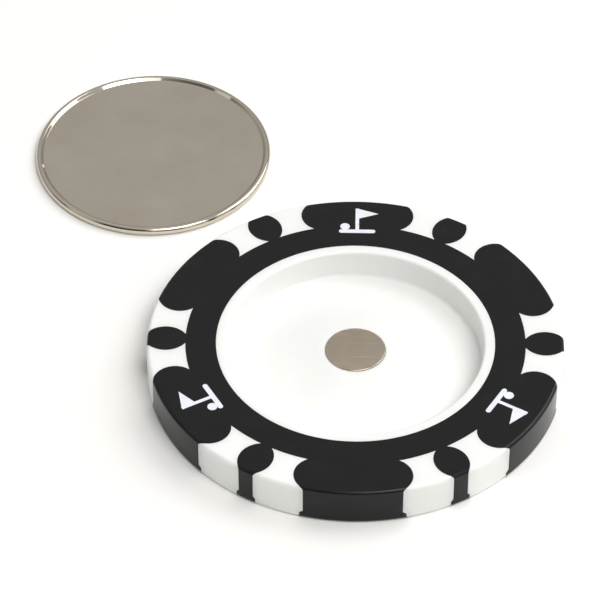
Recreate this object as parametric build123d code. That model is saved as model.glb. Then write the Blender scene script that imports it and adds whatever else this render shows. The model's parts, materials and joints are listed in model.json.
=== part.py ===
from build123d import *
import math
import os

# Poker-chip golf ball marker: a two-shot moulded chip with a magnet in its recess, and the
# steel marker disc that the magnet holds. Millimetres, +Z up. The origin is the centre of the
# chip's underside, and the disc lies beside the chip on the same surface.

# ---- chip ----
chip_d = 40.0
chip_t = 4.0
chip_edge_r = 0.3           # rounding of the chip's outer edges
hub_d = 26.75               # white centre, out to the black band
lip_w = 1.05                # flat lip around the recess
lip_edge_r = 0.12
web_t = 1.15                # floor left under the deepest part of the recess
floor_corner_r = 0.3
wall_draft = 4.0            # degrees, below the straight seat wall
foot_w = 1.4                # flat ring at the floor's outer edge
core_web_z0 = 1.05          # hidden web that ties the edge spots to the hub
core_web_t = 2.0
core_web_margin = 1.8       # how far the hidden web stays inside the chip's edge

# ---- edge pattern: pairs of spots with a lens between them, every 60 degrees ----
pair_count = 6
band_w = 2.925              # black band between the hub and the spots
lens_half_w = 1.61
lens_r = 2.33               # radius of the arcs on the lens's two sides
lens_at = 1.8               # the lens's widest place, in from the chip's edge
lens_neck_w = 1.2           # the least width that ties a lens to the band
lobe_r = 2.14               # radius of the arcs at the ends of the wide lobes
lobe_at = 1.97              # their centres, in from the chip's edge
lobe_angle = 19.1           # degrees from a lens's axis to the arc's centre
foot_step = 0.15            # the dark shapes are this much wider at the underside
foot_h = 0.85

# ---- rim marks: a flag on a green, on every second lobe ----
mark_count = 3
mark_depth = 0.12
mark_base_at = 4.55         # middle of the base bar, in from the chip's edge
mark_base_w = 3.6
mark_bar_t = 0.5
mark_pole_h = 3.3
mark_pole_t = 0.36
mark_flag_w = 2.1
mark_flag_h = 1.5
mark_ball_d = 0.95
mark_ball_at = 1.2          # the ball's centre, to the side of the pole

# ---- magnet ----
magnet_d = 5.8
magnet_t = 1.6
magnet_proud = 0.1          # above the dome that holds it
magnet_gap = 0.03           # radial clearance in its pocket
magnet_edge_r = 0.1
glue_t = 0.1
dome_land_w = 0.45          # flat land on the dome around the magnet
dome_blend_share = 0.8      # share of the land that the dome's rounding takes up
dome_foot_r = 6.0           # rounding where the dome meets its foot

# ---- marker disc ----
marker_t = 0.85
marker_gap = 0.35           # radial clearance in the chip's recess
marker_rim_w = 0.62
marker_dish = 0.25          # depth of the dished face, the same on both sides
marker_edge_r = 0.36
marker_dish_draft = 0.08    # the dish's wall leans out by this much
marker_sink = 0.5           # the seated disc's rim lies this far below the chip's top

# ---- where the disc lies ----
marker_distance = 37.03     # from centre to centre
marker_bearing = 124.5      # degrees from +X

# ---- derived ----
chip_r = chip_d / 2
hub_r = hub_d / 2
band_r = hub_r + band_w
seat_r = hub_r - lip_w
marker_r = seat_r - marker_gap
seated_rim_z = chip_t - marker_sink - marker_t
magnet_top = seated_rim_z + marker_dish
magnet_r = magnet_d / 2
pocket_r = magnet_r + magnet_gap
dome_top = magnet_top - magnet_proud
pocket_z = magnet_top - magnet_t - glue_t
land_r = pocket_r + dome_land_w
wall_drop = magnet_top - web_t
foot_out_r = seat_r - wall_drop * math.tan(math.radians(wall_draft))
foot_in_r = foot_out_r - foot_w
dome_slope = math.atan2(dome_top - web_t, foot_in_r - land_r)
dome_land_r = dome_blend_share * dome_land_w / math.tan(dome_slope / 2)
core_web_r = chip_r - core_web_margin
lens_x = chip_r - lens_at
lens_y = lens_half_w - lens_r
lobe_x = chip_r - lobe_at
pair_pitch = 360 / pair_count
mark_pitch = 360 / mark_count
bearing = math.radians(marker_bearing)
marker_centre = (marker_distance * math.cos(bearing), marker_distance * math.sin(bearing), 0)


def chip_envelope():
    """The chip's outer shape with its rounded edges."""
    body = Cylinder(chip_r, chip_t, align=(Align.CENTER, Align.CENTER, Align.MIN))
    return fillet(body.edges(), chip_edge_r)


def spot_outline(grow):
    """One white spot beside the lens on +X. grow widens the dark shapes around it."""
    ring = Circle(chip_r + 1) - Circle(band_r)
    far = 2 * chip_r
    side = math.radians(lobe_angle)
    wedge = make_face(Polyline((0, 0), (far, 0), (far * math.cos(side), far * math.sin(side)), close=True))
    neck = Pos((band_r + lens_x) / 2, 0) * Rectangle(lens_x - band_r + band_w, lens_neck_w + 2 * grow)
    lens = Pos(lens_x, lens_y) * Circle(lens_r + grow)
    lobe = Rot(0, 0, lobe_angle) * Pos(lobe_x, 0) * Circle(lobe_r + grow)
    return (ring & wedge) - lens - neck - lobe


def edge_spots(envelope):
    """All the full-height white spots, cut to the chip's outer shape."""
    foot = extrude(spot_outline(foot_step), foot_h)
    upper = Pos(0, 0, foot_h) * extrude(spot_outline(0), chip_t - foot_h)
    one = (foot + upper) & envelope
    pair = [one, mirror(one, about=Plane.XZ)]
    return [Rot(0, 0, n * pair_pitch) * spot for n in range(pair_count) for spot in pair]


def hub_profile():
    """Half section of the white hub: lip, straight seat, drafted wall, foot ring, dome and magnet pocket."""
    outline = Polyline(
        (0, 0),
        (hub_r, 0),
        (hub_r, chip_t),
        (seat_r, chip_t),
        (seat_r, magnet_top),
        (foot_out_r, web_t),
        (foot_in_r, web_t),
        (land_r, dome_top),
        (pocket_r, dome_top),
        (pocket_r, pocket_z),
        (0, pocket_z),
        close=True,
    )
    face = make_face(outline)
    face = fillet(corner(face, seat_r, chip_t), lip_edge_r)
    face = fillet(corner(face, foot_out_r, web_t), floor_corner_r)
    face = fillet(corner(face, foot_in_r, web_t), dome_foot_r)
    face = fillet(corner(face, land_r, dome_top), dome_land_r)
    return Plane.XZ * face


def corner(face, x, y):
    """The vertex of a flat outline at one point."""
    return [v for v in face.vertices() if abs(v.X - x) < 1e-6 and abs(v.Y - y) < 1e-6]


def holder_core(envelope):
    """First shot: hub, hidden web and the edge spots, in one moulding."""
    hub = revolve(hub_profile(), Axis.Z)
    web = Pos(0, 0, core_web_z0) * extrude(Circle(core_web_r) - Circle(hub_r), core_web_t)
    return hub + web + edge_spots(envelope)


def holder_overmould(envelope, core, marks):
    """Second shot: everything of the chip outside the hub that the first shot leaves, less the marks."""
    ring = envelope - extrude(Circle(hub_r), chip_t)
    return ring - core - marks


def flag_outline():
    """A flag on its pole over a base bar with a ball beside it, feet towards -Y and centred on the bar."""
    bar = SlotOverall(mark_base_w, mark_bar_t)
    pole = Pos(0, mark_pole_h / 2) * Rectangle(mark_pole_t, mark_pole_h)
    tip = mark_pole_h
    pennant = Polyline((0, tip), (mark_flag_w, tip - mark_flag_h / 2), (0, tip - mark_flag_h), close=True)
    ball = Pos(-mark_ball_at, (mark_bar_t + mark_ball_d) / 2 - 0.05) * Circle(mark_ball_d / 2)
    return bar + pole + make_face(pennant) + ball


def rim_mark(index):
    """One white mark, filled flush into the top of a lobe."""
    flat = Pos(0, chip_r - mark_base_at) * flag_outline()
    return Rot(0, 0, index * mark_pitch) * Pos(0, 0, chip_t - mark_depth) * extrude(flat, mark_depth)


def holder_magnet():
    """Plated disc magnet, a little proud of the dome."""
    base = (Align.CENTER, Align.CENTER, Align.MIN)
    body = Pos(0, 0, magnet_top - magnet_t) * Cylinder(magnet_r, magnet_t, align=base)
    return fillet(body.edges().filter_by(GeomType.CIRCLE), magnet_edge_r)


def magnet_glue():
    """Film of glue between the magnet and its pocket's floor."""
    base = (Align.CENTER, Align.CENTER, Align.MIN)
    return Pos(0, 0, pocket_z) * Cylinder(magnet_r, glue_t, align=base)


def marker_disc():
    """Stamped steel disc, dished the same way on both faces, lying beside the chip."""
    base = (Align.CENTER, Align.CENTER, Align.MIN)
    blank = fillet(Cylinder(marker_r, marker_t, align=base).edges(), marker_edge_r)
    dish_r = marker_r - marker_rim_w
    dish = Cone(dish_r - marker_dish_draft, dish_r, marker_dish, align=base)
    top = Pos(0, 0, marker_t - marker_dish) * dish
    return Pos(*marker_centre) * (blank - top - mirror(top, about=Plane.XY.offset(marker_t / 2)))


envelope = chip_envelope()
core = holder_core(envelope)
marks = [rim_mark(n) for n in range(mark_count)]
parts = {
    "holder_core": core,
    "holder_overmould": holder_overmould(envelope, core, marks),
    "holder_magnet": holder_magnet(),
    "magnet_glue": magnet_glue(),
    "marker_disc": marker_disc(),
}
for number, mark in enumerate(marks, 1):
    parts[f"rim_mark_{number}"] = mark

os.makedirs("parts", exist_ok=True)
for name, shape in parts.items():
    export_step(shape, f"parts/{name}.step")

# the seated disc's middle and the lying disc's middle are the same height above and below this
flip_z = (marker_t / 2 + seated_rim_z + marker_t / 2) / 2
print(f"magnet top {magnet_top:.3f}, marker radius {marker_r:.3f}, flip axis height {flip_z:.4f}")
print("flip axis at", [round(v / 2, 4) for v in marker_centre[:2]])
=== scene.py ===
import json
import math

import bmesh
import bpy
from mathutils import Matrix, Vector


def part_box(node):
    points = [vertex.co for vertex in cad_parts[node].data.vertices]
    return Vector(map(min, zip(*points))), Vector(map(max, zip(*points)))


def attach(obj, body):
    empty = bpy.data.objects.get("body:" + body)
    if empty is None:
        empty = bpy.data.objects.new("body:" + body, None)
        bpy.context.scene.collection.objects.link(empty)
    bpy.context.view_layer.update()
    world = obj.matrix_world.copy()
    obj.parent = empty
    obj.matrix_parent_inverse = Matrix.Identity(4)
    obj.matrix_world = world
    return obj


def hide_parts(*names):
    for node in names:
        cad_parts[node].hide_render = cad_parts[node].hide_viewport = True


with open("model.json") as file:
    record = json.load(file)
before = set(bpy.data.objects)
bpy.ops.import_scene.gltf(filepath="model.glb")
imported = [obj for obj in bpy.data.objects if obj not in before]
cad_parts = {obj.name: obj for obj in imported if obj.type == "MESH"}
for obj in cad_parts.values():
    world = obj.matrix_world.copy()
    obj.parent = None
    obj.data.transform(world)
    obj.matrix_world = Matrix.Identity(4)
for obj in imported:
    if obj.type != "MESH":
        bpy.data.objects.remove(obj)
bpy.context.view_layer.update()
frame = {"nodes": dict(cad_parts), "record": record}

# Golf ball marker: a two-shot poker-chip holder with a magnet in its recess, and the loose
# nickel-plated disc that the magnet holds, lying beside it. Metres, +Z up, in the CAD frame.

mm = 0.001


# what the CAD frame gives: every place below is worked out from these

def nodeSpan(node):
    low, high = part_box(node)
    return Vector(low) / mm, Vector(high) / mm


chipLow, chipHigh = nodeSpan("holder_overmould")
magnetLow, magnetHigh = nodeSpan("holder_magnet")
discLow, discHigh = nodeSpan("marker_disc")
mounts = {m["name"]: m for m in frame["record"]["mounts"]}
chipR = min(chipHigh.x - chipLow.x, chipHigh.y - chipLow.y) / 2
chipT = chipHigh.z
seatR = mounts["marker_seat"]["dims"]["r_mm"]
magnetR = (magnetHigh.x - magnetLow.x) / 2
magnetTop = magnetHigh.z
discR = min(discHigh.x - discLow.x, discHigh.y - discLow.y) / 2
discT = discHigh.z
discCentre = Vector(((discLow.x + discHigh.x) / 2, (discLow.y + discHigh.y) / 2, 0))
print("frame read: chip radius %.2f mm, disc radius %.2f mm" % (chipR, discR))


# small helpers

meshing = {"weld": 0.0004, "latheWeld": 0.0005, "hardAngle": 32}  # mm, mm and degrees


def addNode(tree, kind, inputs=None, **settings):
    # one node with its settings; inputs maps a socket's name or number to a value or a link's source
    node = tree.nodes.new(kind)
    for name, value in settings.items():
        setattr(node, name, value)
    for key, value in (inputs or {}).items():
        socket = node.inputs[key]
        if isinstance(value, bpy.types.NodeSocket):
            tree.links.new(value, socket)
        else:
            socket.default_value = value
    return node


def meshObject(name, mesh):
    piece = bpy.data.objects.new(name, mesh)
    bpy.context.scene.collection.objects.link(piece)
    return piece


def bakedMesh(piece, name):
    # the evaluated shape as a plain mesh, with the working object removed
    graph = bpy.context.evaluated_depsgraph_get()
    mesh = bpy.data.meshes.new_from_object(piece.evaluated_get(graph), depsgraph=graph)
    mesh.name = name
    bpy.data.objects.remove(piece)
    return mesh


def arc(cx, cy, radius, start, end, steps):
    # points of an arc, angles in radians
    span = [start + (end - start) * n / steps for n in range(steps + 1)]
    return [(cx + radius * math.cos(a), cy + radius * math.sin(a)) for a in span]


def roundedLine(corners, steps):
    # a polyline in (x, y, fillet radius) with its inner corners rounded by true arcs
    points = []
    for n, (x, y, radius) in enumerate(corners):
        here = Vector((x, y))
        if radius <= 0 or n in (0, len(corners) - 1):
            points.append((x, y))
            continue
        back = (Vector(corners[n - 1][:2]) - here).normalized()
        ahead = (Vector(corners[n + 1][:2]) - here).normalized()
        half = back.angle(ahead) / 2
        centre = here + (back + ahead).normalized() * (radius / math.sin(half))
        reach = radius / math.tan(half)
        first, last = here + back * reach - centre, here + ahead * reach - centre
        turn = first.angle_signed(last)
        for k in range(steps + 1):
            a = -turn * k / steps
            spoke = Vector((first.x * math.cos(a) - first.y * math.sin(a),
                            first.x * math.sin(a) + first.y * math.cos(a)))
            points.append(tuple(centre + spoke))
    return points


# Geometry Nodes: one tree turns a profile, the other repeats a mesh round the chip

def nodeGroup(name, sockets):
    # a geometry tree with these named inputs, returned with them
    tree = bpy.data.node_groups.new(name, "GeometryNodeTree")
    for label, kind in sockets.items():
        tree.interface.new_socket(label, in_out="INPUT", socket_type="NodeSocket" + kind)
    tree.interface.new_socket("Geometry", in_out="OUTPUT", socket_type="NodeSocketGeometry")
    return tree, addNode(tree, "NodeGroupInput").outputs


def stepAngle(tree, step, count):
    # how far round the circle a step lies, of so many equal ones
    share = addNode(tree, "ShaderNodeMath", {0: step, 1: count}, operation="DIVIDE").outputs[0]
    return addNode(tree, "ShaderNodeMath", {0: share, 1: 2 * math.pi}, operation="MULTIPLY").outputs[0]


def closeTree(tree, geometry, material):
    painted = addNode(tree, "GeometryNodeSetMaterial", {"Geometry": geometry, "Material": material})
    addNode(tree, "NodeGroupOutput", {"Geometry": painted.outputs[0]})
    return tree


def latheTree():
    # a grid with one row for each spoke; every point is moved to its profile point, turned to its spoke
    tree, given = nodeGroup("turnedProfile", {"Geometry": "Geometry", "Segments": "Int",
                                              "Merge Distance": "Float", "Material": "Material"})
    size = addNode(tree, "GeometryNodeAttributeDomainSize", {"Geometry": given["Geometry"]})
    count = size.outputs["Point Count"]
    rows = addNode(tree, "FunctionNodeIntegerMath", {0: given["Segments"], 1: 1}, operation="ADD")
    grid = addNode(tree, "GeometryNodeMeshGrid", {"Vertices X": rows.outputs[0], "Vertices Y": count})
    index = addNode(tree, "GeometryNodeInputIndex").outputs[0]
    spoke = addNode(tree, "FunctionNodeIntegerMath", {0: index, 1: count}, operation="DIVIDE_FLOOR")
    along = addNode(tree, "FunctionNodeIntegerMath", {0: index, 1: count}, operation="MODULO")
    place = addNode(tree, "GeometryNodeInputPosition").outputs[0]
    sample = addNode(tree, "GeometryNodeSampleIndex",
                     {"Geometry": given["Geometry"], "Value": place, "Index": along.outputs[0]},
                     data_type="FLOAT_VECTOR", domain="POINT")
    angle = stepAngle(tree, spoke.outputs[0], given["Segments"])
    turned = addNode(tree, "ShaderNodeVectorRotate", {"Vector": sample.outputs[0], "Angle": angle},
                     rotation_type="Z_AXIS")
    moved = addNode(tree, "GeometryNodeSetPosition",
                    {"Geometry": grid.outputs["Mesh"], "Position": turned.outputs[0]})
    closed = addNode(tree, "GeometryNodeMergeByDistance",
                     {"Geometry": moved.outputs[0], "Distance": given["Merge Distance"]})
    return closeTree(tree, closed.outputs[0], given["Material"])


def ringTree():
    # copies turned about +Z
    tree, given = nodeGroup("roundTheChip", {"Geometry": "Geometry", "Count": "Int", "Material": "Material"})
    line = addNode(tree, "GeometryNodeMeshLine", {"Count": given["Count"], "Offset": (0, 0, 0)})
    index = addNode(tree, "GeometryNodeInputIndex").outputs[0]
    turn = addNode(tree, "ShaderNodeCombineXYZ", {"Z": stepAngle(tree, index, given["Count"])})
    copies = addNode(tree, "GeometryNodeInstanceOnPoints",
                     {"Points": line.outputs[0], "Instance": given["Geometry"], "Rotation": turn.outputs[0]})
    real = addNode(tree, "GeometryNodeRealizeInstances", {"Geometry": copies.outputs[0]})
    return closeTree(tree, real.outputs[0], given["Material"])


lathe = latheTree()
ringCopies = ringTree()


def runNodes(piece, tree, name, **values):
    # sets the tree's named inputs by their identifiers and returns the finished plain mesh
    modifier = piece.modifiers.new("build", "NODES")
    modifier.node_group = tree
    for item in tree.interface.items_tree:
        if item.in_out == "INPUT" and item.name in values:
            modifier[item.identifier] = values[item.name]
    return bakedMesh(piece, name)


def turnedMesh(name, profile, material, segments, centre=(0, 0)):
    # profile is a closed run of (radius, height) in mm, from axis to axis or back to its start
    line = bpy.data.meshes.new(name)
    points = [(r * mm, 0, z * mm) for r, z in profile]
    line.from_pydata(points, [(n, n + 1) for n in range(len(points) - 1)], [])
    values = {"Segments": segments, "Merge Distance": meshing["latheWeld"] * mm, "Material": material}
    mesh = runNodes(meshObject(name, line), lathe, name, **values)
    mesh.transform(Matrix.Translation((centre[0] * mm, centre[1] * mm, 0)))
    return tidied(mesh)


def tidied(mesh):
    # closed, outward, with crisp edges only where faces turn hard
    work = bmesh.new()
    work.from_mesh(mesh)
    bmesh.ops.remove_doubles(work, verts=work.verts, dist=meshing["weld"] * mm)
    bmesh.ops.dissolve_degenerate(work, edges=work.edges, dist=meshing["weld"] * mm)
    # a corner with only two edges lies along an edge, and would leave a loose sliver once triangulated
    inLine = [v for v in work.verts if len(v.link_edges) == 2]
    bmesh.ops.dissolve_verts(work, verts=inLine)
    bmesh.ops.recalc_face_normals(work, faces=work.faces)
    for f in work.faces:
        f.smooth = True
    work.to_mesh(mesh)
    work.free()
    mesh.set_sharp_from_angle(angle=math.radians(meshing["hardAngle"]))
    return mesh


def stackedMesh(name, sections):
    # a closed solid through outlines of equal count, given as (outline, height) from the foot up, in mm
    work = bmesh.new()
    rings = [[work.verts.new((x * mm, y * mm, z * mm)) for x, y in outline] for outline, z in sections]
    for below, above in zip(rings, rings[1:]):
        for n in range(len(below)):
            work.faces.new((below[n - 1], below[n], above[n], above[n - 1]))
    work.faces.new(rings[0][::-1])
    work.faces.new(rings[-1])
    bmesh.ops.recalc_face_normals(work, faces=work.faces)
    mesh = bpy.data.meshes.new(name)
    work.to_mesh(mesh)
    work.free()
    return mesh


def joined(name, meshes):
    # several closed meshes as one, without merging them
    work = bmesh.new()
    for m in meshes:
        work.from_mesh(m)
    mesh = bpy.data.meshes.new(name)
    work.to_mesh(mesh)
    work.free()
    return mesh


def cutMesh(name, mesh, operation, tools):
    # one exact boolean after another
    piece = meshObject(name, mesh)
    helpers = [meshObject(name + "Tool", t) for t in tools]
    for h in helpers:
        modifier = piece.modifiers.new("cut", "BOOLEAN")
        modifier.operation = operation
        modifier.solver = "EXACT"
        modifier.use_self = True
        modifier.object = h
    result = bakedMesh(piece, name)
    for h in helpers:
        bpy.data.objects.remove(h)
    return result


def placePiece(name, mesh, body, slot, *nodes):
    # the finished piece at the origin, riding on its body and standing for its CAD nodes
    work = meshObject(name + "Work", mesh)
    modifier = work.modifiers.new("weighted", "WEIGHTED_NORMAL")
    modifier.keep_sharp = True  # large flat faces keep flat shading beside small roundings
    piece = meshObject(name, bakedMesh(work, name))
    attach(piece, body)
    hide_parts(*nodes)


# materials: a texture is (size in mm, detail, roughness); roughness is the two limits it wanders between;
# a patch is the texture's range it rises over, then its most; relief is a bump's strength and height in mm

def hexColour(text):
    # sRGB hex to the linear colour that a shader socket takes
    channels = [int(text[i:i + 2], 16) / 255 for i in (1, 3, 5)]
    return (*[c / 12.92 if c <= 0.04045 else ((c + 0.055) / 1.055) ** 2.4 for c in channels], 1.0)


def newMaterial(name, inputs):
    material = bpy.data.materials.new(name)
    material.use_nodes = True
    tree = material.node_tree
    tree.nodes.clear()
    shader = addNode(tree, "ShaderNodeBsdfPrincipled", inputs)
    addNode(tree, "ShaderNodeOutputMaterial", {"Surface": shader.outputs[0]})
    place = addNode(tree, "ShaderNodeTexCoord").outputs["Object"]
    return material, tree, shader, place


def grain(tree, place, size, detail, roughness=0.5):
    # noise whose features are about this many millimetres
    return addNode(tree, "ShaderNodeTexNoise", {"Vector": place, "Scale": 1 / (size * mm), "Detail": detail,
                                                "Roughness": roughness}).outputs["Fac"]


def between(tree, factor, low=0.0, high=1.0):
    # a texture's middle range spread over low to high
    return addNode(tree, "ShaderNodeMapRange", {"Value": factor, "From Min": 0.3, "From Max": 0.7,
                                                "To Min": low, "To Max": high}).outputs["Result"]


def patches(tree, factor, start, end, most=1.0):
    # nothing where the texture is under its start, rising to the most at its end
    return addNode(tree, "ShaderNodeMapRange", {"Value": factor, "From Min": start, "From Max": end,
                                                "To Min": 0.0, "To Max": most}).outputs["Result"]


def mixColour(tree, factor, first, second):
    # each colour is a hex text or a socket; they go in a Mix node's sockets 6 and 7
    first, second = [hexColour(c) if isinstance(c, str) else c for c in (first, second)]
    return addNode(tree, "ShaderNodeMix", {0: factor, 6: first, 7: second}, data_type="RGBA").outputs[2]


def mixMath(tree, operation, *values):
    return addNode(tree, "ShaderNodeMath", dict(enumerate(values)), operation=operation).outputs[0]


def scratches(tree, place, turn, spacing, start, end):
    # fine straight handling marks: noise drawn out thirty times along one direction
    mapping = addNode(tree, "ShaderNodeMapping", {"Vector": place, "Rotation": (0, 0, math.radians(turn)),
                                                  "Scale": (1 / 30, 1, 1)})
    return patches(tree, grain(tree, mapping.outputs[0], spacing, 2.0), start, end)


def finishWith(tree, shader, base, roughness, height, relief):
    # what every finish varies: its colour, its roughness and a fine bump
    strength, depth = relief
    bump = addNode(tree, "ShaderNodeBump", {"Height": height, "Strength": strength, "Distance": depth * mm})
    tree.links.new(base, shader.inputs["Base Color"])
    tree.links.new(roughness, shader.inputs["Roughness"])
    tree.links.new(bump.outputs[0], shader.inputs["Normal"])


whiteAbs = {"colour": "#F6F6F3", "shade": "#F1F1EE", "dust": "#D8D2C4", "roughness": (0.29, 0.42),
            "ior": 1.53, "scatter": 0.3, "scatterTint": (1.0, 0.92, 0.8), "scatterMm": 1.1,
            "cloud": (7.0, 2.0), "fine": (0.12, 4.0), "speck": (0.9, 6.0, 0.7), "dusty": (0.68, 0.76, 0.35),
            "relief": (0.12, 0.004)}


def injectionWhiteAbs():
    # ABS, injection moulded in a polished tool: milky, a little light under the skin, soft gloss
    material, tree, shader, place = newMaterial("injectionMouldedWhiteAbs", {
        "IOR": whiteAbs["ior"],
        "Subsurface Weight": whiteAbs["scatter"],
        "Subsurface Radius": whiteAbs["scatterTint"],
        "Subsurface Scale": whiteAbs["scatterMm"] * mm,
    })
    cloud = grain(tree, place, *whiteAbs["cloud"])
    fine = grain(tree, place, *whiteAbs["fine"])
    speck = grain(tree, place, *whiteAbs["speck"])
    base = mixColour(tree, between(tree, cloud), whiteAbs["colour"], whiteAbs["shade"])
    base = mixColour(tree, patches(tree, speck, *whiteAbs["dusty"]), base, whiteAbs["dust"])
    finishWith(tree, shader, base, between(tree, fine, *whiteAbs["roughness"]), fine, whiteAbs["relief"])
    return material


blackAbs = {"colour": "#1A191A", "wear": "#222021", "roughness": (0.12, 0.3), "ior": 1.53, "gloss": 0.2,
            "fine": (0.16, 5.0, 0.6), "rub": (3.2, 5.0, 0.65), "rubbed": (0.5, 0.75, 0.6),
            "relief": (0.18, 0.005)}


def sparkErodedBlackAbs():
    # ABS from a finely spark-eroded tool: deep black with a satin grain, rubbed a little at random
    material, tree, shader, place = newMaterial("satinMouldedBlackAbs", {
        "IOR": blackAbs["ior"],
        "Specular IOR Level": blackAbs["gloss"],
    })
    fine = grain(tree, place, *blackAbs["fine"])
    rub = grain(tree, place, *blackAbs["rub"])
    base = mixColour(tree, patches(tree, rub, *blackAbs["rubbed"]), blackAbs["colour"], blackAbs["wear"])
    mottled = mixColour(tree, 0.5, rub, fine)
    finishWith(tree, shader, base, between(tree, mottled, *blackAbs["roughness"]), fine, blackAbs["relief"])
    return material


markPaint = {"colour": "#EEF0F7", "thin": "#D9DCE6", "thinMost": 0.7, "roughness": (0.4, 0.6),
             "patch": (0.6, 4.0, 0.6), "fine": (0.1, 3.0), "relief": (0.25, 0.006)}


def enamelFill():
    # white enamel wiped into the moulded marks: cool white, thinner and greyer in patches
    material, tree, shader, place = newMaterial("whiteEnamelFill", {})
    patch = grain(tree, place, *markPaint["patch"])
    fine = grain(tree, place, *markPaint["fine"])
    thin = between(tree, patch, 0.0, markPaint["thinMost"])
    base = mixColour(tree, thin, markPaint["colour"], markPaint["thin"])
    finishWith(tree, shader, base, between(tree, fine, *markPaint["roughness"]), fine, markPaint["relief"])
    return material


nickelPlate = {"colour": "#D8CFC0", "haze": "#CEC5B5", "roughness": (0.16, 0.23), "rimRoughness": 0.07,
               "rimFrom": 0.85, "rimTo": 0.7, "cloud": (5.5, 3.0), "ripple": (0.8, 2.0),
               "hairline": (24, 0.11, 0.62, 0.72), "hairRoughness": 0.05, "relief": (0.15, 0.003)}


def brightNickel():
    # bright nickel over stamped steel: warm grey mirror dulled by a faint haze and hairline marks,
    # its rim pressed brighter than its faces
    material, tree, shader, place = newMaterial("brightNickelPlate", {"Metallic": 1.0})
    haze = grain(tree, place, *nickelPlate["cloud"])
    ripple = grain(tree, place, *nickelPlate["ripple"])
    hair = scratches(tree, place, *nickelPlate["hairline"])
    base = mixColour(tree, between(tree, haze), nickelPlate["colour"], nickelPlate["haze"])
    soft = between(tree, haze, *nickelPlate["roughness"])
    flat = addNode(tree, "ShaderNodeVectorMath", {0: place, 1: (1, 1, 0)}, operation="MULTIPLY")
    away = addNode(tree, "ShaderNodeVectorMath", {0: flat.outputs[0], 1: discCentre * mm},
                   operation="DISTANCE").outputs["Value"]
    rim = patches(tree, away, (discR - nickelPlate["rimFrom"]) * mm, (discR - nickelPlate["rimTo"]) * mm)
    edged = addNode(tree, "ShaderNodeMix", {0: rim, 2: soft, 3: nickelPlate["rimRoughness"]}).outputs[0]
    rough = mixMath(tree, "MULTIPLY_ADD", hair, nickelPlate["hairRoughness"], edged)
    finishWith(tree, shader, base, rough, ripple, nickelPlate["relief"])
    return material


magnetPlate = {"colour": "#C9BCA9", "mark": "#D6CBBA", "roughness": (0.21, 0.32), "cloud": (1.6, 3.0),
               "scratches": [(38, 0.13, 0.6, 0.74), (-52, 0.2, 0.62, 0.76)], "scratchRoughness": 0.06,
               "relief": (0.1, 0.001)}


def scratchedNickel():
    # nickel on a sintered magnet, handled often: two sets of crossing scratches over a dull plate
    material, tree, shader, place = newMaterial("scratchedMagnetNickel", {"Metallic": 1.0})
    first, second = [scratches(tree, place, *s) for s in magnetPlate["scratches"]]
    both = mixMath(tree, "MAXIMUM", first, second)
    cloud = grain(tree, place, *magnetPlate["cloud"])
    base = mixColour(tree, both, magnetPlate["colour"], magnetPlate["mark"])
    soft = between(tree, cloud, *magnetPlate["roughness"])
    rough = mixMath(tree, "MULTIPLY_ADD", both, magnetPlate["scratchRoughness"], soft)
    finishWith(tree, shader, base, rough, both, magnetPlate["relief"])
    return material


glue = {"colour": "#DAD2BE", "cloudy": "#C9BFA6", "roughness": (0.25, 0.5), "cloud": (0.7, 3.0),
        "relief": (0.3, 0.01)}


def curedGlue():
    # cured instant glue: a pale, slightly cloudy film, hidden under the magnet
    material, tree, shader, place = newMaterial("curedGlueFilm", {})
    cloud = grain(tree, place, *glue["cloud"])
    base = mixColour(tree, between(tree, cloud), glue["colour"], glue["cloudy"])
    finishWith(tree, shader, base, between(tree, cloud, *glue["roughness"]), cloud, glue["relief"])
    return material


finishes = {
    "white": injectionWhiteAbs(),
    "black": sparkErodedBlackAbs(),
    "mark": enamelFill(),
    "nickel": brightNickel(),
    "magnet": scratchedNickel(),
    "glue": curedGlue(),
}
print("materials made:", len(finishes))


# the camera, at the eye's place for a close product shot

camera = {"azimuth": 1.23, "elevation": 43.89,  # degrees round from -Y and up from the floor
          "distance": 365.3, "right": -5.31, "up": 6.80, "lens": 227.1, "sensor": 36.0,  # mm
          "clipStart": 0.01, "clipEnd": 20}


def makeCamera():
    data = bpy.data.cameras.new("studioCamera")
    data.lens, data.sensor_width = camera["lens"], camera["sensor"]
    data.clip_start, data.clip_end = camera["clipStart"], camera["clipEnd"]
    a, e = math.radians(camera["azimuth"]), math.radians(camera["elevation"])
    back = Vector((math.sin(a) * math.cos(e), -math.cos(a) * math.cos(e), math.sin(e)))
    right = Vector((math.cos(a), math.sin(a), 0))
    above = back.cross(right)
    view = Matrix((right, above, back)).transposed().to_4x4()
    view.translation = (back * camera["distance"] + right * camera["right"] + above * camera["up"]) * mm
    eye = bpy.data.objects.new("studioCamera", data)
    eye.matrix_world = view
    bpy.context.scene.collection.objects.link(eye)
    bpy.context.scene.camera = eye


makeCamera()
bpy.context.scene.view_settings.view_transform = "Standard"


# chip: the white hub

hub = {"radius": 13.375, "lipEdge": 0.26, "webT": 1.15, "footW": 1.4, "footRound": 6.0, "floorRound": 0.3,
       "draft": 4.0, "landW": 0.45, "landRound": 2.6, "pocketGap": 0.03, "magnetProud": 0.1,
       "pocketRound": 0.05, "seamRound": 0.04, "roundSteps": 8, "segments": 256}


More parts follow.
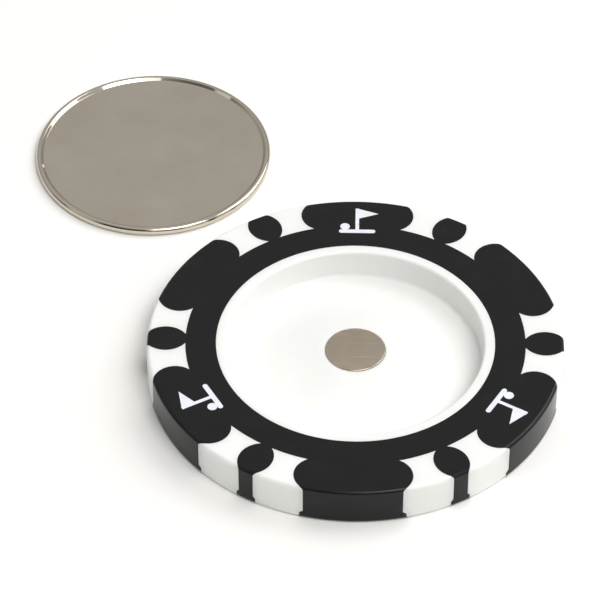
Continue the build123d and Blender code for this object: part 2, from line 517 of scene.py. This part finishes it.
def makeHub():
    domeTop = magnetTop - hub["magnetProud"]
    pocketR = magnetR + hub["pocketGap"]
    footOut = seatR - (magnetTop - hub["webT"]) * math.tan(math.radians(hub["draft"]))
    profile = roundedLine([
        (0, 0, 0),
        (hub["radius"], 0, 0),
        (hub["radius"], chipT, hub["seamRound"]),
        (seatR, chipT, hub["lipEdge"]),
        (seatR, magnetTop, 0),
        (footOut, hub["webT"], hub["floorRound"]),
        (footOut - hub["footW"], hub["webT"], hub["footRound"]),
        (pocketR + hub["landW"], domeTop, hub["landRound"]),
        (pocketR, domeTop, hub["pocketRound"]),
        (pocketR, magnetLow.z, 0),
        (0, magnetLow.z, 0),
    ], hub["roundSteps"])
    return turnedMesh("hub", profile, finishes["white"], hub["segments"])


# chip: edge spots in pairs with a lens between them, six times round

pattern = {"pairs": 6, "bandW": 2.925, "lensHalfW": 1.61, "lensR": 2.33, "lensAt": 1.8, "lobeR": 2.14,
           "lobeAt": 1.97, "lobeAngle": 19.1, "footStep": 0.15, "footH": 0.82, "footBlend": 0.34,
           "blendSteps": 6, "edgeRound": 0.36, "roundSteps": 8, "segments": 360, "pastRim": 0.06,
           "beyond": 1.0,
           "lensSide": 0.7, "lobeSide": 4.6,  # roughly where a spot's two sides lie, in mm from the lens
           "bandSteps": 12, "lensSteps": 20, "rimSteps": 12, "lobeSteps": 24}


def crossing(first, second, near):
    # where two circles, each (x, y, radius), meet, on the side of the near point
    gap = Vector((second[0] - first[0], second[1] - first[1]))
    d = gap.length
    a = (first[2] ** 2 - second[2] ** 2 + d * d) / (2 * d)
    h = math.sqrt(max(first[2] ** 2 - a * a, 0))
    middle = Vector(first[:2]) + gap * (a / d)
    side = Vector((-gap.y, gap.x)) * (h / d)
    return min((middle + side, middle - side), key=lambda p: (p - Vector(near)).length)


def arcBetween(circle, start, end, steps):
    # the shorter arc of a circle from one of its points to another, without its last point
    cx, cy, radius = circle
    a = math.atan2(start[1] - cy, start[0] - cx)
    b = math.atan2(end[1] - cy, end[0] - cx)
    b = a + (b - a + math.pi) % (2 * math.pi) - math.pi
    return arc(cx, cy, radius, a, b, steps)[:-1]


def spotOutline(grow):
    # one white spot beside the lens on +X; grow widens the dark shapes beside it
    band = (0, 0, hub["radius"] + pattern["bandW"])
    outer = (0, 0, chipR + pattern["beyond"])
    lens = (chipR - pattern["lensAt"], pattern["lensHalfW"] - pattern["lensR"], pattern["lensR"] + grow)
    side = math.radians(pattern["lobeAngle"])
    out = chipR - pattern["lobeAt"]
    lobe = (out * math.cos(side), out * math.sin(side), pattern["lobeR"] + grow)
    rim = (0, 0, chipR + pattern["pastRim"])  # just outside, so no corner lies on the chip's own edge
    insideLens = crossing(band, lens, (band[2], pattern["lensSide"]))
    outsideLens = crossing(rim, lens, (chipR, pattern["lensSide"]))
    insideLobe = crossing(band, lobe, (band[2], pattern["lobeSide"]))
    outsideLobe = crossing(rim, lobe, (chipR, pattern["lobeSide"]))
    lensOut, lobeOut = [p.normalized() * outer[2] for p in (outsideLens, outsideLobe)]
    points = arcBetween(band, insideLobe, insideLens, pattern["bandSteps"])
    points += arcBetween(lens, insideLens, outsideLens, pattern["lensSteps"]) + [tuple(outsideLens)]
    points += arcBetween(outer, lensOut, lobeOut, pattern["rimSteps"]) + [tuple(lobeOut)]
    points += arcBetween(lobe, outsideLobe, insideLobe, pattern["lobeSteps"])
    return points


def spotPrisms():
    # a pair of spots running past the chip's outer faces, each blended in an S onto its narrower foot
    step, blend = pattern["footStep"], pattern["footBlend"]
    shares = [n / pattern["blendSteps"] for n in range(pattern["blendSteps"] + 1)]
    levels = [(step, -pattern["beyond"])]
    levels += [(step * (1 - t * t * (3 - 2 * t)), pattern["footH"] + (t - 0.5) * blend) for t in shares]
    levels += [(0, chipT + pattern["beyond"])]
    meshes = []
    for flip in (1, -1):
        sections = [([(x, y * flip) for x, y in spotOutline(grow)], z) for grow, z in levels]
        meshes.append(stackedMesh("spot", sections))
    return joined("spotPair", meshes)


def chipEnvelope(name, inner, material):
    # the chip's outer shape outside a radius
    profile = roundedLine([
        (inner, 0, 0),
        (chipR, 0, pattern["edgeRound"]),
        (chipR, chipT, pattern["edgeRound"]),
        (inner, chipT, 0),
        (inner, 0, 0),
    ], pattern["roundSteps"])
    return turnedMesh(name, profile, material, pattern["segments"])


# chip: the generic marks, a flag on a green with its ball

flag = {"count": 3, "depth": 0.12, "baseAt": 4.55, "baseW": 3.6, "barT": 0.5, "poleH": 3.3, "poleT": 0.36,
        "flagW": 2.1, "flagH": 1.5, "ballD": 0.95, "ballAt": 1.2, "ballSunk": 0.05, "endSteps": 12,
        "ballSteps": 32}


def markPrisms(high):
    # base bar, pole, pennant and ball joined into one prism at the first lobe, on +Y
    y0 = chipR - flag["baseAt"]
    end, half = flag["baseW"] / 2 - flag["barT"] / 2, flag["barT"] / 2
    quarter = math.pi / 2
    bar = arc(end, y0, half, -quarter, quarter, flag["endSteps"])
    bar += arc(-end, y0, half, quarter, 3 * quarter, flag["endSteps"])
    poleW, top = flag["poleT"] / 2, y0 + flag["poleH"]
    pole = [(-poleW, y0), (poleW, y0), (poleW, top), (-poleW, top)]
    pennant = [(0, top - flag["flagH"]), (flag["flagW"], top - flag["flagH"] / 2), (0, top)]
    ballY = y0 + (flag["barT"] + flag["ballD"]) / 2 - flag["ballSunk"]
    ball = arc(-flag["ballAt"], ballY, flag["ballD"] / 2, 0, 2 * math.pi, flag["ballSteps"])[:-1]
    low = chipT - flag["depth"]
    outlines = (bar, pole, pennant, ball)
    shapes = [stackedMesh("mark", [(outline, low), (outline, high)]) for outline in outlines]
    return cutMesh("mark", shapes[0], "UNION", shapes[1:])


def ringOf(name, mesh, count, material):
    return runNodes(meshObject(name, mesh), ringCopies, name, Count=count, Material=material)


def makeChip():
    placePiece("whiteHub", makeHub(), "holder", "white_abs", "holder_core")
    print("hub turned")
    pair = spotPrisms()
    shell = chipEnvelope("envelope", hub["radius"] + pattern["bandW"] / 2, finishes["white"])
    cutPair = cutMesh("pairCut", pair.copy(), "INTERSECT", [shell])
    spots = ringOf("edgeSpots", cutPair, pattern["pairs"], finishes["white"])
    placePiece("whiteEdgeSpots", tidied(spots), "holder", "white_abs", "holder_core")
    print("edge spots set round the rim")
    cutters = ringOf("cutters", pair, pattern["pairs"], finishes["black"])
    deepMark = ringOf("deepMarks", markPrisms(chipT + pattern["beyond"]), flag["count"], finishes["black"])
    ring = chipEnvelope("ring", hub["radius"], finishes["black"])
    black = cutMesh("blackRing", ring, "DIFFERENCE", [cutters, deepMark])
    placePiece("blackOvermould", tidied(black), "holder", "black_abs", "holder_overmould")
    print("black overmould cut round the spots and marks")
    marks = ringOf("marks", markPrisms(chipT), flag["count"], finishes["mark"])
    placePiece("rimMarks", tidied(marks), "holder", "mark_fill", "rim_mark_1", "rim_mark_2", "rim_mark_3")
    print("rim marks filled")


# magnet and disc

magnet = {"edge": 0.07, "rest": 0.01,  # the seated disc rests this far above it
          "roundSteps": 6, "segments": 128}


def makeMagnet():
    top = magnetTop - magnet["rest"]
    profile = roundedLine([
        (0, magnetLow.z, 0),
        (magnetR, magnetLow.z, magnet["edge"]),
        (magnetR, top, magnet["edge"]),
        (0, top, 0),
    ], magnet["roundSteps"])
    mesh = turnedMesh("magnetTurned", profile, finishes["magnet"], magnet["segments"])
    placePiece("discMagnet", mesh, "holder", "magnet_nickel", "holder_magnet")


disc = {"rimW": 0.48, "dish": 0.25, "edge": 0.34, "lean": 0.27, "rimRound": 0.12, "floorRound": 0.1,
        "roundSteps": 10, "segments": 320}


def makeDisc():
    # dished the same on both faces, so it looks right either way up
    dishR = discR - disc["rimW"]
    under = [
        (0, disc["dish"], 0),
        (dishR - disc["lean"], disc["dish"], disc["floorRound"]),
        (dishR, 0, disc["rimRound"]),
        (discR, 0, disc["edge"]),
    ]
    over = [(r, discT - z, rounding) for r, z, rounding in reversed(under)]
    profile = roundedLine(under + over, disc["roundSteps"])
    mesh = turnedMesh("discTurned", profile, finishes["nickel"], disc["segments"], discCentre)
    placePiece("markerDisc", mesh, "marker", "marker_nickel", "marker_disc")


makeChip()
makeMagnet()
makeDisc()
glueFilm = frame["nodes"]["magnet_glue"]
glueFilm.data.materials.clear()
glueFilm.data.materials.append(finishes["glue"])
print("magnet, glue and disc done")


# plain pale floor and soft studio light

studio = {"floor": "#F9F8F4", "floorPatch": "#FAF9F6", "floorTone": (40.0, 2.0), "floorSize": 6.0,
          "floorRoughness": 0.9, "floorGloss": 0.1, "skyLow": 0.3, "skyMid": 0.5, "skyHigh": 0.62,
          "midAt": 0.6, "warm": (1.0, 0.995, 0.985), "darkSide": 232, "dark": 0.15, "darkFrom": 0.25,
          "darkTo": 0.75}

softboxes = {  # azimuth from +X and elevation in degrees, distance and size in metres, power in watts
    "topPanel": {"azimuth": -50, "elevation": 66, "distance": 0.7, "size": 0.34, "power": 1.85},
    "keyPanel": {"azimuth": 28, "elevation": 44, "distance": 0.7, "size": 0.5, "power": 2.2},
    "frontPanel": {"azimuth": -72, "elevation": 48, "distance": 0.9, "size": 0.5, "power": 1.0},
    "fillPanel": {"azimuth": 200, "elevation": 30, "distance": 0.8, "size": 0.4, "power": 0.3},
}


def makeFloor():
    half = studio["floorSize"] / 2
    corners = [(-half, -half, 0), (half, -half, 0), (half, half, 0), (-half, half, 0)]
    mesh = bpy.data.meshes.new("studioFloor")
    mesh.from_pydata(corners, [], [(0, 1, 2, 3)])
    floor = meshObject("studioFloor", mesh)
    material, tree, shader, place = newMaterial("paleBackdropPaper", {
        "Roughness": studio["floorRoughness"],
        "Specular IOR Level": studio["floorGloss"],
    })
    tone = grain(tree, place, *studio["floorTone"])
    base = mixColour(tree, between(tree, tone), studio["floor"], studio["floorPatch"])
    tree.links.new(base, shader.inputs["Base Color"])
    mesh.materials.append(material)


def makeSky():
    # a soft tent of light, dimmed towards its dark side
    world = bpy.data.worlds.new("studioTent")
    world.use_nodes = True
    tree = world.node_tree
    tree.nodes.clear()
    look = addNode(tree, "ShaderNodeTexCoord").outputs["Generated"]
    up = addNode(tree, "ShaderNodeSeparateXYZ", {0: look})
    ramp = addNode(tree, "ShaderNodeValToRGB", {"Fac": up.outputs["Z"]})
    levels = [studio["skyLow"], studio["skyMid"], studio["skyHigh"]]
    low, middle, high = [(*[level * c for c in studio["warm"]], 1) for level in levels]
    stops = ramp.color_ramp.elements
    stops[0].color, stops[1].color = low, high
    stops.new(studio["midAt"]).color = middle
    side = math.radians(studio["darkSide"])
    facing = addNode(tree, "ShaderNodeVectorMath", {0: look, 1: (math.cos(side), math.sin(side), 0)},
                     operation="DOT_PRODUCT").outputs["Value"]
    level = addNode(tree, "ShaderNodeMapRange",
                    {"Value": facing, "From Min": studio["darkFrom"], "From Max": studio["darkTo"],
                     "To Min": 1.0, "To Max": studio["dark"]}, interpolation_type="SMOOTHSTEP")
    sky = addNode(tree, "ShaderNodeBackground",
                  {"Color": ramp.outputs["Color"], "Strength": level.outputs["Result"]})
    addNode(tree, "ShaderNodeOutputWorld", {"Surface": sky.outputs[0]})
    bpy.context.scene.world = world


def softbox(name, azimuth, elevation, distance, size, power):
    # a square panel facing the chip
    a, e = math.radians(azimuth), math.radians(elevation)
    away = Vector((math.cos(a) * math.cos(e), math.sin(a) * math.cos(e), math.sin(e)))
    data = bpy.data.lights.new(name, "AREA")
    data.shape, data.size, data.energy = "SQUARE", size, power
    lamp = bpy.data.objects.new(name, data)
    facing = away.to_track_quat("Z", "Y").to_matrix().to_4x4()
    lamp.matrix_world = Matrix.Translation(away * distance) @ facing
    bpy.context.scene.collection.objects.link(lamp)


makeFloor()
makeSky()
for name, values in softboxes.items():
    softbox(name, **values)
print("studio lit")
